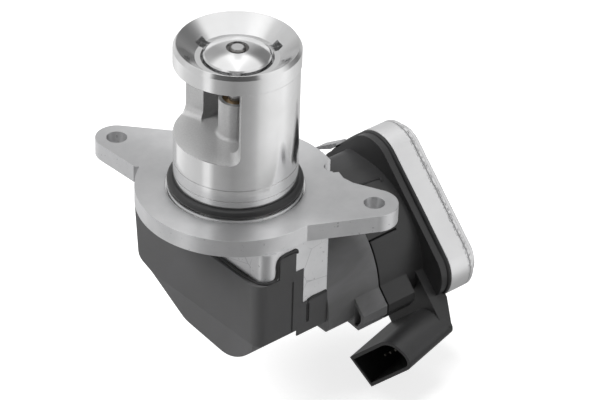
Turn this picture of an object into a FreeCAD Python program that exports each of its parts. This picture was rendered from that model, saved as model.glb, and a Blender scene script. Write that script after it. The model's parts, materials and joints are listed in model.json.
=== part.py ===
"""Electric exhaust gas recirculation valve, in millimetres.

The origin is the centre of the mounting flange's top face, on the valve axis.
+Z points up along the valve tube and +X runs along the motor, away from the
gear cover.  The motor end is turned 45 degrees about X, so its pieces are
drawn in a local frame whose y and z are called across and along.
"""
import FreeCAD, Part
import math
import os

import Sketcher
from FreeCAD import Placement, Rotation, Vector

doc = FreeCAD.newDocument("egr_valve")
sheet = doc.addObject("Spreadsheet::Sheet", "Sizes")

DRIVING = {
    # Valve tube
    "tube_radius": 20.0,
    "tube_bore": 13.0,
    "tube_top": 46.0,
    "window_floor": 19.9,
    "floor_thickness": 4.0,
    "window_start": 104.0,
    "window_span": 129.8,
    "window_corner": 3.0,
    "inner_fillet": 1.2,
    "spring_room": 14.0,
    "collar_radius": 22.5,
    "collar_thickness": 3.0,
    "foot_radius": 18.0,
    "boss_radius": 5.8,
    "boss_top": 33.0,
    "boss_drop": 4.0,
    "line_low": 6.06,
    "line_high": 10.3,
    "line_width": 0.35,
    "line_depth": 0.2,
    # O-ring at the foot of the tube
    "ring_cord": 2.9,
    "ring_groove": 19.0,
    "ring_height": 2.2,
    # Seat ring on top of the tube
    "cap_ring_radius": 20.3,
    "cap_ring_side": 5.25,
    "cap_ring_chamfer": 0.9,
    "cap_ring_height": 6.65,
    "funnel_lip": 0.2,
    "funnel_throat": 13.4,
    "funnel_depth": 4.85,
    "seat_pocket": 11.6,
    "seat_land": 1.3,
    "seat_bore": 9.6,
    "seat_sleeve": 2.5,
    "key_width": 4.0,
    "key_reach": 14.8,
    "key_depth": 1.25,
    "key_turn": 106.0,
    # Valve head and stem
    "head_radius": 10.8,
    "head_rise": 2.6,
    "head_chamfer": 0.2,
    "head_seat_gap": 0.07,
    "dome_height": 2.8,
    "rivet_pocket": 3.6,
    "rivet_sink": 0.75,
    "rivet_radius": 2.7,
    "stem_radius": 3.0,
    "spigot_radius": 2.2,
    "lift": 5.0,
    "stem_end": -28.4,
    # Guides and seal
    "bush_wall": 1.6,
    "bush_recess": 0.8,
    "lower_bush_top": -9.5,
    "lower_bush_end": -18.0,
    "seal_height": 2.2,
    # Return spring
    "spring_radius": 8.0,
    "spring_wire": 1.6,
    "spring_turns": 5.0,
    "spring_seat": -6.0,
    "retainer_radius": 10.0,
    "retainer_thickness": 1.5,
    # Flange and casting
    "flange_radius": 32.2,
    "flange_thickness": 6.0,
    "flange_bulge": 34.0,
    "left_ear_x": -12.85,
    "left_ear_y": 44.8,
    "left_ear_radius": 7.1,
    "right_ear_x": 27.68,
    "right_ear_y": -35.76,
    "right_ear_radius": 7.7,
    "ear_hole": 3.4,
    "notch_radius": 2.8,
    "notch_x": 30.9,
    "notch_y": -11.9,
    "block_front": -14.0,
    "block_bottom": -16.5,
    "casting_left": 28.0,
    "casting_right": -31.5,
    "wall_front": 2.4,
    "wall_back": 12.4,
    "hub_radius": 7.0,
    "web_top": -9.5,
    "spring_bore": 11.0,
    # Gear cover
    "cover_face": -16.5,
    "cover_left": 31.0,
    "cover_draft": 2.1,
    "cover_left_low": -37.0,
    "cover_right": -32.0,
    "cover_wall": 2.0,
    "keel_wall": 1.6,
    "cover_crease": -39.5,
    "keel_right": -23.4,
    "keel_low": -48.2,
    "keel_left": 2.2,
    "keel_rise": 1.8,
    "keel_round": 15.0,
    "cover_bulge": 2.5,
    "cover_corner": 4.0,
    "cover_left_corner": 3.5,
    "casting_inset": 0.5,
    "gasket_thickness": 0.6,
    # Gear train
    "gear_module": 0.5,
    "pinion_teeth": 10.0,
    "large_teeth": 26.0,
    "small_teeth": 12.0,
    "cam_teeth": 44.0,
    "motor_y": -10.5,
    "motor_z": -29.7,
    "cam_y": 4.0,
    "cam_z": -30.5,
    "cam_angle": 100.0,
    "roller_closed": -27.3,
    "cam_front": -10.4,
    "cam_back": -5.0,
    "cam_tooth_width": 2.4,
    "cam_disc_radius": 11.4,
    "groove_depth": 2.7,
    "roller_radius": 1.6,
    "roller_width": 2.0,
    "roller_pin": 0.9,
    "yoke_half": 3.6,
    "yoke_back": 0.8,
    "hub_front": -13.2,
    "cam_hub": 3.0,
    "large_front": -13.9,
    "large_width": 2.3,
    "small_width": 3.3,
    "axle_radius": 1.5,
    "sensor_radius": 5.4,
    "sensor_front": -13.0,
    "sensor_width": 2.0,
    "idler_axle": 1.2,
    # Motor
    "motor_radius": 14.5,
    "motor_front": 5.4,
    "can_back": 47.0,
    "bell_back": 50.0,
    "can_wall": 1.2,
    "motor_shaft": 1.2,
    "magnet_thickness": 3.3,
    "magnet_front": 12.0,
    "magnet_length": 27.0,
    "armature_gap": 0.6,
    "armature_front": 13.0,
    "armature_back": 38.0,
    "commutator_radius": 4.2,
    "commutator_back": 44.5,
    "brush_front": 39.5,
    "brush_width": 4.0,
    "brush_reach": 5.0,
    "brush_height": 3.0,
    "motor_screw": 1.3,
    "motor_screw_head": 2.3,
    # Motor housing and connector cover
    "housing_top": -10.8,
    "housing_bottom": -48.0,
    "housing_left": 8.0,
    "housing_right": -33.0,
    "housing_sweep": 29.6,
    "housing_corner": 5.0,
    "sleeve_round": 3.0,
    "lug_length": 10.4,
    "lug_reach": 4.4,
    "lug_wall": 1.3,
    "seam": 34.0,
    "seam_gap": 0.6,
    "seam_depth": 1.0,
    "seam_height": -22.4,
    "seam_step": 12.0,
    "plate_front": 53.2,
    "cap_front": 57.0,
    "cap_depth": 9.6,
    "cap_step": 2.6,
    "cap_inset": 2.2,
    "cap_wall": 1.8,
    "cap_high": 6.0,
    "cap_low": -34.0,
    "cap_start": 1.2,
    "cap_end": 61.3,
    "cap_corner": 11.0,
    "plate_inset": 0.7,
    "plate_gap": 0.6,
    "spigot_inset": 1.9,
    # Connector
    "neck_front": 50.0,
    "socket_low": -31.5,
    "socket_near": 66.0,
    "socket_height": 12.2,
    "socket_length": 28.0,
    "socket_mouth": 31.5,
    "socket_reach": 22.0,
    "socket_depth": 17.0,
    "socket_tilt": 12.0,
    "socket_wall": 1.2,
    "socket_round": 8.0,
    "socket_corner": 4.0,
    "pin_count": 5.0,
    "pin_pitch": 3.4,
    "pin_side": 0.7,
    "pin_reach": 9.0,
    # Screws and clip
    "housing_screw": 1.6,
    "housing_screw_head": 2.9,
    "clip_thickness": 0.9,
    "clip_low": -30.5,
    "clip_high": -19.0,
    "clip_rise": 2.2,
    "clip_front": 54.5,
    "clip_back": 59.0,
    # Fits
    "running_fit": 0.03,
    "free_gap": 0.4,
}


class Size:
    """A number together with the sheet formula that gives it."""

    def __init__(self, value, text):
        self.value = float(value)
        self.text = text

    def __add__(self, other):
        other = as_size(other)
        return Size(self.value + other.value, f"({self.text} + {other.text})")

    __radd__ = __add__

    def __sub__(self, other):
        other = as_size(other)
        return Size(self.value - other.value, f"({self.text} - {other.text})")

    def __rsub__(self, other):
        return as_size(other) - self

    def __mul__(self, other):
        other = as_size(other)
        return Size(self.value * other.value, f"({self.text} * {other.text})")

    __rmul__ = __mul__

    def __truediv__(self, other):
        other = as_size(other)
        return Size(self.value / other.value, f"({self.text} / {other.text})")

    def __neg__(self):
        return Size(-self.value, f"(0 - {self.text})")


def as_size(number):
    if isinstance(number, Size):
        return number
    return Size(number, f"{float(number):.6f}")


class Sizes:
    """The driving sizes, one attribute for each alias of the sheet."""


def fill_sheet():
    sizes = Sizes()
    for row, (alias, number) in enumerate(DRIVING.items(), start=1):
        sheet.set(f"A{row}", alias.replace("_", " "))
        sheet.set(f"B{row}", str(number))
        sheet.setAlias(f"B{row}", alias)
        setattr(sizes, alias, Size(number, f"Sizes.{alias}"))
    doc.recompute()
    return sizes


D = fill_sheet()
PARTS = []
ALONG_X = Rotation(Vector(0, 1, 0), 90)
TURNED = Placement(Vector(0, 0, 0), Rotation(Vector(1, 0, 0), 135))


def finish(obj, label):
    """Names a finished sub-part and lists it for export."""
    obj.Label = label
    PARTS.append(obj)
    return obj


def bind(obj, **sizes):
    for name, size in sizes.items():
        obj.setExpression(name, as_size(size).text)


def move(obj, x=0, y=0, z=0, rotation=None):
    """Places an object, each coordinate bound to the sheet."""
    spot = [as_size(number) for number in (x, y, z)]
    obj.Placement = Placement(Vector(*[number.value for number in spot]), rotation or Rotation())
    for axis, number in zip("xyz", spot):
        obj.setExpression(f"Placement.Base.{axis}", number.text)
    return obj


def cylinder(name, radius, height, x=0, y=0, z=0, rotation=None, angle=None):
    obj = doc.addObject("Part::Cylinder", name)
    bind(obj, Radius=radius, Height=height)
    if angle is not None:
        bind(obj, Angle=angle)
    return move(obj, x, y, z, rotation)


def rod(name, radius, start, stop, y=0, z=0):
    """A cylinder along X between two places."""
    return cylinder(name, radius, stop - start, start, y, z, ALONG_X)


def box(name, x, y, z, length, width, height, rotation=None):
    obj = doc.addObject("Part::Box", name)
    bind(obj, Length=length, Width=width, Height=height)
    return move(obj, x, y, z, rotation)


def join(name, *shapes):
    obj = doc.addObject("Part::MultiFuse", name)
    obj.Shapes = list(shapes)
    obj.Refine = True
    return obj


def cut(name, base, *tools):
    tool = tools[0] if len(tools) == 1 else join(f"{name}_tools", *tools)
    obj = doc.addObject("Part::Cut", name)
    obj.Base = base
    obj.Tool = tool
    return obj


def common(name, first, second):
    obj = doc.addObject("Part::Common", name)
    obj.Base = first
    obj.Tool = second
    return obj


def body(name):
    return doc.addObject("PartDesign::Body", name)


def origin_plane(holder, role):
    return next(item for item in holder.Origin.OriginFeatures if item.Role == role)


def outline(holder, name, role, points, offset=0):
    """A closed sketch with each corner tied to the sheet."""
    sketch = holder.newObject("Sketcher::SketchObject", name)
    sketch.AttachmentSupport = (origin_plane(holder, role), [""])
    sketch.MapMode = "FlatFace"
    sketch.setExpression("AttachmentOffset.Base.z", as_size(offset).text)
    corners = [(as_size(a), as_size(b)) for a, b in points]
    count = len(corners)
    for index, (a, b) in enumerate(corners):
        c, d = corners[(index + 1) % count]
        sketch.addGeometry(Part.LineSegment(Vector(a.value, b.value), Vector(c.value, d.value)))
    for index in range(count):
        sketch.addConstraint(Sketcher.Constraint("Coincident", index, 2, (index + 1) % count, 1))
    for index, (a, b) in enumerate(corners):
        for kind, size in (("DistanceX", a), ("DistanceY", b)):
            number = sketch.addConstraint(Sketcher.Constraint(kind, index, 1, size.value))
            sketch.setExpression(f"Constraints[{number}]", size.text)
    return sketch


def turned(name, points):
    """A body turned about its own Z axis from a half profile of (radius, height)."""
    holder = body(name)
    sketch = outline(holder, f"{name}_profile", "XZ_Plane", points)
    feature = holder.newObject("PartDesign::Revolution", f"{name}_turn")
    feature.Profile = sketch
    feature.ReferenceAxis = (sketch, ["V_Axis"])
    feature.Angle = 360
    return holder


def prism(name, role, points, start, stop):
    """A body padded from a closed outline between two places along its normal."""
    holder = body(name)
    flip = role == "XZ_Plane"
    base = -as_size(stop) if flip else as_size(start)
    sketch = outline(holder, f"{name}_outline", role, points, base)
    feature = holder.newObject("PartDesign::Pad", f"{name}_pad")
    feature.Profile = sketch
    bind(feature, Length=as_size(stop) - start)
    return holder


def corner_rectangle(low_a, low_b, high_a, high_b):
    return [(low_a, low_b), (high_a, low_b), (high_a, high_b), (low_a, high_b)]


def rounded(name, source, radius, chosen):
    """Rounds the edges of an object that the test picks."""
    doc.recompute()
    size = as_size(radius)
    edges = [
        (number, size.value, size.value)
        for number, edge in enumerate(source.Shape.Edges, start=1)
        if chosen(edge)
    ]
    obj = doc.addObject("Part::Fillet", name)
    obj.Base = source
    obj.Edges = edges
    return obj


def straight_along(edge, axis):
    if edge.Curve.TypeId != "Part::GeomLine":
        return False
    return abs(abs(edge.Curve.Direction.dot(axis)) - 1) < 1e-6


def near(value, size, slack=0.02):
    return abs(value - as_size(size).value) < slack


X_AXIS = Vector(1, 0, 0)
Y_AXIS = Vector(0, 1, 0)
Z_AXIS = Vector(0, 0, 1)


def valve_tube():
    """The turned tube: foot collar, O-ring groove, window and stem boss."""
    wall = turned("tube_wall", [
        (D.spring_room, -D.flange_thickness),
        (D.foot_radius, -D.flange_thickness),
        (D.foot_radius, -D.collar_thickness),
        (D.collar_radius, -D.collar_thickness),
        (D.collar_radius, 0),
        (D.tube_radius, 0),
        (D.tube_radius, D.ring_height - D.ring_cord / 2 - 0.05),
        (D.ring_groove, D.ring_height - D.ring_cord / 2 - 0.05),
        (D.ring_groove, D.ring_height + D.ring_cord / 2 + 0.05),
        (D.tube_radius, D.ring_height + D.ring_cord / 2 + 0.05),
        (D.tube_radius, D.tube_top),
        (D.tube_bore, D.tube_top),
        (D.tube_bore, D.window_floor),
        (D.boss_radius, D.window_floor),
        (D.boss_radius, D.boss_top),
        (D.stem_radius + D.bush_wall, D.boss_top),
        (D.stem_radius + D.bush_wall, D.window_floor - D.floor_thickness - D.boss_drop),
        (D.boss_radius, D.window_floor - D.floor_thickness - D.boss_drop),
        (D.boss_radius, D.window_floor - D.floor_thickness),
        (D.spring_room, D.window_floor - D.floor_thickness),
    ])
    floor = D.window_floor

    def inner_corner(edge):
        if edge.Curve.TypeId != "Part::GeomCircle" or not near(edge.Curve.Center.z, floor):
            return False
        return near(edge.Curve.Radius, D.tube_bore) or near(edge.Curve.Radius, D.boss_radius)

    def cutter_foot(edge):
        if edge.Curve.TypeId != "Part::GeomLine" or straight_along(edge, Z_AXIS):
            return False
        return near(edge.Vertexes[0].Z, floor) and near(edge.Vertexes[-1].Z, floor)

    soft_wall = rounded("tube_soft_wall", wall, D.inner_fillet, inner_corner)
    window = cylinder("window_sector", D.tube_radius + 2, D.tube_top - floor + 1,
                      0, 0, floor, Rotation(Z_AXIS, D.window_start.value), D.window_span)
    keep = cylinder("window_core", D.tube_bore - D.inner_fillet - 0.1, D.tube_top, 0, 0, 0)
    cutter = cut("window_cutter", window, keep)
    soft_cutter = rounded("window_soft_cutter", cutter, D.window_corner, cutter_foot)
    opened = cut("tube_opened", soft_wall, soft_cutter)
    lines = []
    for name, height in (("line_low", D.line_low), ("line_high", D.line_high)):
        outer = cylinder(f"{name}_outer", D.tube_radius + 1, D.line_width, 0, 0, height)
        inner = cylinder(f"{name}_inner", D.tube_radius - D.line_depth, D.line_width, 0, 0, height)
        lines.append(cut(f"{name}_ring", outer, inner))
    return finish(cut("valve_tube", opened, *lines), "valve_tube")


def o_ring():
    ring = doc.addObject("Part::Torus", "o_ring")
    bind(ring, Radius1=D.ring_groove + D.ring_cord / 2, Radius2=D.ring_cord / 2)
    move(ring, 0, 0, D.ring_height)
    return finish(ring, "o_ring")


def seat_levels():
    """Heights of the ring's ledge, the seat cone's top, and the head's foot and crown."""
    ledge = D.tube_top + D.cap_ring_height - D.funnel_depth
    cone_top = ledge - D.seat_land
    cone_foot = cone_top - (D.seat_pocket - D.head_radius) + D.head_seat_gap
    crown = D.tube_top + D.head_rise + D.dome_height
    return ledge, cone_top, cone_foot, crown


def seat_ring():
    """The ring pressed on the tube: chamfer, funnel, pocket, conical seat and throat."""
    top = D.tube_top + D.cap_ring_height
    lip = D.cap_ring_radius - D.cap_ring_chamfer
    ledge, cone_top = seat_levels()[:2]
    blank = turned("seat_blank", [
        (D.cap_ring_radius, D.tube_top),
        (D.cap_ring_radius, D.tube_top + D.cap_ring_side),
        (lip, top),
        (lip - D.funnel_lip, top),
        (D.funnel_throat, ledge),
        (D.seat_pocket, ledge),
        (D.seat_pocket, cone_top),
        (D.seat_bore, cone_top - (D.seat_pocket - D.seat_bore)),
        (D.seat_bore, D.tube_top - D.seat_sleeve),
        (D.tube_bore, D.tube_top - D.seat_sleeve),
        (D.tube_bore, D.tube_top),
    ])
    keys = []
    for index in range(3):
        angle = D.key_turn.value + 120.0 * index
        key = box(f"seat_key_{index}", 0, 0, ledge - D.key_depth, D.key_reach,
                  D.key_width, D.key_depth + D.funnel_depth)
        radians = math.radians(angle)
        half = D.key_width / 2
        move(key, half * math.sin(radians), -half * math.cos(radians), ledge - D.key_depth,
             Rotation(Z_AXIS, angle))
        keys.append(key)
    return finish(cut("seat_ring", blank, *keys), "seat_ring")


def valve_head():
    """The poppet: domed crown, chamfered rim and 45 degree seating cone."""
    cone_foot, crown = seat_levels()[2:]
    foot = D.head_radius - D.seat_bore + 0.6
    rim = crown - D.dome_height - D.head_chamfer
    blank = turned("head_blank", [
        (D.spigot_radius, cone_foot - foot),
        (D.head_radius - foot, cone_foot - foot),
        (D.head_radius, cone_foot),
        (D.head_radius, rim),
        (D.head_radius - (crown - rim), crown),
        (D.spigot_radius, crown),
    ])
    radius = (D.head_radius * D.head_radius + D.dome_height * D.dome_height) / (D.dome_height * 2)
    ball = doc.addObject("Part::Sphere", "dome_ball")
    bind(ball, Radius=radius)
    move(ball, 0, 0, crown - radius)
    domed = common("head_domed", blank, ball)
    pocket = cylinder("rivet_pocket", D.rivet_pocket, D.rivet_sink + 1, 0, 0,
                      crown - D.rivet_sink)
    return finish(cut("valve_head", domed, pocket), "valve_head")


def valve_stem():
    """The sliding stem: turned rod, shoulder, spigot and riveted end."""
    cone_foot, crown = seat_levels()[2:]
    shoulder = cone_foot - (D.head_radius - D.seat_bore + 0.6)
    rivet_foot = crown - D.rivet_sink
    return finish(turned("valve_stem", [
        (0, D.stem_end),
        (D.stem_radius - 0.4, D.stem_end),
        (D.stem_radius, D.stem_end + 0.4),
        (D.stem_radius, shoulder),
        (D.spigot_radius, shoulder),
        (D.spigot_radius, rivet_foot),
        (D.rivet_radius, rivet_foot),
        (D.rivet_radius, rivet_foot + 0.2),
        (D.spigot_radius, rivet_foot + 0.45),
        (D.spigot_radius, crown - 0.2),
        (D.spigot_radius - 0.2, crown),
        (0, crown),
    ]), "valve_stem")


def bush(label, bottom, top, outer):
    holder = turned(label, [
        (D.stem_radius + D.running_fit, bottom),
        (outer, bottom),
        (outer, top),
        (D.stem_radius + D.running_fit, top),
    ])
    return finish(holder, label)


def guide_bushes():
    outer = D.stem_radius + D.bush_wall
    seal_base = D.window_floor - D.floor_thickness - D.boss_drop
    bush("stem_guide_bush", seal_base + D.seal_height, D.boss_top - D.bush_recess, outer)
    bush("stem_seal", seal_base, seal_base + D.seal_height, outer)
    bush("lower_guide_bush", D.lower_bush_end, D.lower_bush_top, outer)


def return_spring():
    """A compression spring with its wire swept along a helix."""
    top = D.window_floor - D.floor_thickness
    wire = D.spring_wire.value / 2
    length = (top - D.spring_seat).value - 2 * wire - 0.1
    pitch = length / D.spring_turns.value
    helix = Part.makeHelix(pitch, length, D.spring_radius.value)
    start = Vector(D.spring_radius.value, 0, 0)
    slope = pitch / (2 * math.pi * D.spring_radius.value)
    section = Part.Wire(Part.makeCircle(wire, start, Vector(0, 1, slope)))
    coil = Part.Wire(helix.Edges).makePipeShell([section], True, True)
    spring = doc.addObject("Part::Feature", "return_spring")
    spring.Shape = coil
    spring.Placement = Placement(Vector(0, 0, D.spring_seat.value + wire + 0.05), Rotation())
    return finish(spring, "return_spring")


def spring_retainer():
    holder = turned("spring_retainer", [
        (D.stem_radius, D.spring_seat - D.retainer_thickness),
        (D.retainer_radius, D.spring_seat - D.retainer_thickness),
        (D.retainer_radius, D.spring_seat),
        (D.stem_radius, D.spring_seat),
    ])
    return finish(holder, "spring_retainer")


def stem_yoke():
    """The crosshead on the stem that carries the roller pin."""
    top = D.roller_closed + 3.3
    bottom = D.roller_closed - 1.4
    face = D.cam_back + 0.4
    back = D.stem_radius + D.yoke_back
    block = box("yoke_block", face, -D.yoke_half, bottom, back - face, D.yoke_half * 2,
                top - bottom)
    bore = cylinder("yoke_bore", D.stem_radius, 20, 0, 0, D.roller_closed - 10)
    pin = rod("yoke_pin_hole", D.roller_pin, face - 1, 0, 0, D.roller_closed)
    return finish(cut("stem_yoke", block, bore, pin), "stem_yoke")


def roller_parts():
    floor = D.cam_back - D.groove_depth
    front = floor + 0.4
    pin = rod("roller_pin", D.roller_pin, floor + 0.2, -D.stem_radius - 0.1, 0, D.roller_closed)
    finish(pin, "roller_pin")
    wheel = rod("roller_wheel", D.roller_radius, front, front + D.roller_width, 0, D.roller_closed)
    bore = rod("roller_bore", D.roller_pin + D.running_fit, front - 1, front + D.roller_width + 1,
               0, D.roller_closed)
    return finish(cut("cam_roller", wheel, bore), "cam_roller")


def ear(name, x, y, radius, near_side, far_side):
    """One flange ear: a rounded end with straight sides running into the disc."""
    end = cylinder(f"{name}_end", radius, D.flange_thickness, x, y, -D.flange_thickness)
    web = prism(f"{name}_web", "XY_Plane", near_side + far_side, -D.flange_thickness, 0)
    return [end, web]


def flange_plate():
    thick = D.flange_thickness
    disc = cylinder("flange_disc", D.flange_radius, thick, 0, 0, -thick)
    wide = cylinder("flange_wide", D.flange_bulge, thick, 0, 0, -thick)
    side = box("flange_side", 20, -8.5, -thick - 1, 20, 15.8, thick + 2)
    bulge = common("flange_bulge", wide, side)
    left = ear("left_ear", D.left_ear_x, D.left_ear_y, D.left_ear_radius,
               [(D.left_ear_x - D.left_ear_radius, D.left_ear_y), (-19.2, 28), (-10, 20)],
               [(8, 20), (10.2, 29.6), (D.left_ear_x + 5.3, D.left_ear_y + 4.7)])
    right = ear("right_ear", D.right_ear_x, D.right_ear_y, D.right_ear_radius,
                [(D.right_ear_x - 3.9, D.right_ear_y - 6.6), (1, -31.2), (5, -20)],
                [(26, -13), (30.4, -15.5), (29.3, -19), (29.9, -23),
                 (D.right_ear_x + 7.2, D.right_ear_y + 2.7)])
    plate = join("flange_blank", disc, bulge, *left, *right)
    notch = cylinder("flange_notch", D.notch_radius, thick + 2, D.notch_x, D.notch_y, -thick - 1)
    holes = [
        cylinder(f"{name}_hole", D.ear_hole, thick + 2, x, y, -thick - 1)
        for name, x, y in (("left", D.left_ear_x, D.left_ear_y),
                           ("right", D.right_ear_x, D.right_ear_y))
    ]
    return cut("flange_plate", plate, notch, *holes)


def actuator_housing():
    """The casting: flange with two ears, spring chamber, stem hub and gearbox back wall."""
    plate = flange_plate()
    block = prism("casting_block", "XY_Plane",
                  corner_rectangle(D.block_front, D.casting_right, D.wall_back, D.casting_left),
                  D.block_bottom, -D.flange_thickness)
    wall = cover_blank("casting_wall", D.casting_inset, D.wall_front, D.wall_back)

    def block_edge(edge):
        upright = straight_along(edge, Z_AXIS)
        return upright and near(edge.Vertexes[0].X, D.block_front)

    soft_block = rounded("casting_block_soft", block, 4, block_edge)
    hub = cylinder("stem_hub", D.hub_radius, 4, 0, 0, D.lower_bush_end)
    solid = join("casting_solid", plate, soft_block, wall, hub)
    tube_seat = cylinder("tube_seat", D.foot_radius, D.flange_thickness, 0, 0, -D.flange_thickness)
    collar_seat = cylinder("collar_seat", D.collar_radius, D.collar_thickness + 1,
                           0, 0, -D.collar_thickness)
    chamber = cylinder("spring_chamber", D.spring_bore, -D.web_top, 0, 0, D.web_top)
    bore = cylinder("bush_seat", D.stem_radius + D.bush_wall, 30, 0, 0, D.lower_bush_end - 5)
    motor = rod("motor_seat", D.motor_radius + 0.1, D.motor_front, D.wall_back + 1,
                D.motor_y, D.motor_z)
    nose = rod("motor_nose_seat", 4.1, D.wall_front - 1, D.motor_front + 1, D.motor_y, D.motor_z)
    idler_y, idler_z = idler_centre()
    slot_half = D.yoke_half + D.free_gap
    stem_slot = box("stem_slot", D.wall_front - 1, -slot_half, D.stem_end - 1.5,
                    D.stem_radius + D.yoke_back + D.free_gap - D.wall_front + 1, slot_half * 2,
                    D.lower_bush_end - D.stem_end + 1.5)
    pins = [
        rod("cam_axle_seat", D.axle_radius, D.wall_front - 1, D.wall_front + 2.6, D.cam_y, D.cam_z),
        rod("idler_axle_seat", D.idler_axle, D.wall_front - 1, D.wall_front + 2.6,
            idler_y, idler_z),
    ]
    screws = [
        rod(f"motor_screw_hole_{index}", D.motor_screw, D.wall_front - 1, D.motor_front + 1, y, z)
        for index, (y, z) in enumerate(motor_screw_places())
    ]
    long_screws = [
        rod(f"long_screw_hole_{index}", D.housing_screw, D.wall_back - 7, D.wall_back + 1, y, z)
        for index, (y, z) in enumerate(housing_screw_places())
    ]
    return finish(cut("actuator_housing", solid, tube_seat, collar_seat, chamber, bore, motor,
                      nose, stem_slot, *pins, *screws, *long_screws), "actuator_housing")


def housing_screw_places():
    """Three screws in the corners of the motor housing, clear of the motor."""
    return [
        (D.housing_right + 5, D.housing_bottom + 10),
        (D.housing_left - 4.5, D.housing_top - 4.7),
        (D.housing_left - 4.5, D.housing_bottom + 6.5),
    ]


def motor_screw_places():
    """Two screws on a circle round the motor axis."""
    spots = []
    for angle in (70, 250):
        y = D.motor_y + 9.5 * math.cos(math.radians(angle))
        z = D.motor_z + 9.5 * math.sin(math.radians(angle))
        spots.append((y, z))
    return spots


def gear_centres_apart():
    """The two working centre distances of the gear train."""
    first = (D.pinion_teeth + D.large_teeth) * D.gear_module / 2
    second = (D.small_teeth + D.cam_teeth) * D.gear_module / 2
    return first.value, second.value


def idler_centre():
    """Where the intermediate gear meshes with both of its neighbours, below them."""
    first, second = gear_centres_apart()
    dy = (D.cam_y - D.motor_y).value
    dz = (D.cam_z - D.motor_z).value
    apart = math.hypot(dy, dz)
    along = (first * first - second * second + apart * apart) / (2 * apart)
    down = math.sqrt(first * first - along * along)
    y = D.motor_y.value + (along * dy + down * dz) / apart
    z = D.motor_z.value + (along * dz - down * dy) / apart
    return y, z


def cover_outline(inset):
    """The cover seen along the motor, with its keel below; inset moves it inwards."""
    low = inset * D.keel_wall / D.cover_wall
    return [
        (D.cover_left - inset, D.block_bottom),
        (D.cover_right + inset, D.block_bottom),
        (D.cover_right + inset, D.cover_crease + inset * 0.4),
        (D.keel_right + inset * 0.35, D.keel_low + low),
        (D.keel_left - inset * 0.2, D.keel_low + D.keel_rise + low),
        (D.cover_left - D.cover_draft - inset * 0.93, D.cover_left_low + inset * 0.74),
    ]


def cover_blank(name, inset, start, stop):
    """The cover's outline padded along the motor, with its lower corners rounded."""
    blank = prism(name, "YZ_Plane", cover_outline(inset), start, stop)
    keel_middle = (D.keel_low + D.cover_left_low).value / 2
    left_low = D.cover_left.value - D.cover_draft.value - 3

    def keel_corner(edge):
        at = edge.Vertexes[0]
        return straight_along(edge, X_AXIS) and at.Z < keel_middle

    def left_corner(edge):
        at = edge.Vertexes[0]
        low = at.Z < D.block_bottom.value - 1
        return straight_along(edge, X_AXIS) and low and at.Y > left_low

    keel = rounded(f"{name}_keel", blank, D.keel_round, keel_corner)
    return rounded(f"{name}_soft", keel, D.cover_left_corner, left_corner)


def gear_cover():
    """The moulded cover: open at the top and the back, with a keel and latch tongues."""
    back = D.wall_front - D.gasket_thickness
    outer = cover_blank("cover_outer", 0, D.cover_face - 6, back)
    side = prism("cover_side", "XZ_Plane", [
        (D.wall_front, D.block_bottom),
        (D.cover_face, D.block_bottom),
        (D.cover_face, D.cover_crease),
        (D.cover_face - D.cover_bulge, D.keel_low),
        (D.wall_front, D.keel_low),
    ], D.cover_right - 2, D.cover_left + 2)

    def right_corner(edge):
        at = edge.Vertexes[0]
        upright = straight_along(edge, Z_AXIS) and near(at.Y, D.cover_right)
        return upright and near(at.X, D.cover_face)

    shell = common("cover_blank", outer, side)
    soft = rounded("cover_soft", shell, D.cover_corner, right_corner)
    inside = cover_blank("cover_inside", D.cover_wall, D.cover_face + D.cover_wall,
                         D.wall_front + 1)
    skin = D.casting_right - D.cover_right - 0.05
    tab = box("cover_tab", -8, D.cover_right, D.block_bottom - 3, 6.7, skin, 11)
    tongue = box("cover_tongue", back - 2, D.cover_right, D.cover_crease - 2.3,
                 D.wall_back - back + 1.9, skin, 12)
    solid = join("cover_solid", cut("cover_shell", soft, inside), tab, tongue)
    groove = box("cover_groove", -2.8, D.cover_right - 1, D.cover_crease, 0.7, 1.4, 20)
    slot = box("cover_slot", D.wall_front + 1.2, D.cover_right - 1, D.cover_crease + 1.5,
               1.2, 3, 7)
    idler_y, idler_z = idler_centre()
    seats = [
        rod("cover_cam_seat", D.axle_radius, D.cover_face + 0.8, D.cover_face + 3,
            D.cam_y, D.cam_z),
        rod("cover_idler_seat", D.idler_axle, D.cover_face + 0.8, D.cover_face + 3,
            idler_y, idler_z),
    ]
    finish(cut("gear_cover", solid, groove, slot, *seats), "gear_cover")
    frame = cover_blank("gasket_outer", D.casting_inset, back, D.wall_front)
    window = cover_blank("gasket_window", D.cover_wall, back - 1, D.wall_front + 1)
    finish(cut("cover_gasket", frame, window), "cover_gasket")


def involute(angle):
    return math.tan(angle) - angle


def tooth_wire(teeth, module, addendum, backlash):
    """The closed outline of a spur gear, its flanks drawn between involute points."""
    pitch = module * teeth / 2
    pressure = math.radians(20)
    base = pitch * math.cos(pressure)
    tip = pitch + addendum * module
    root = pitch - 1.15 * module
    half = math.pi / (2 * teeth) - backlash / (2 * pitch)
    start = max(root, base)
    low = half + involute(pressure) - involute(math.acos(base / start) if start > base else 0)
    high = half + involute(pressure) - involute(math.acos(base / tip))
    points = []
    for index in range(int(teeth)):
        middle = 2 * math.pi * index / teeth
        flank = [(root, low), (tip, high)]
        if start > root:
            flank.insert(1, (start, low))
        for radius, angle in flank:
            points.append((radius, middle - angle))
        for radius, angle in reversed(flank):
            points.append((radius, middle + angle))
    spots = [Vector(r * math.cos(a), r * math.sin(a), 0) for r, a in points]
    return Part.makePolygon(spots + spots[:1])


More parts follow.
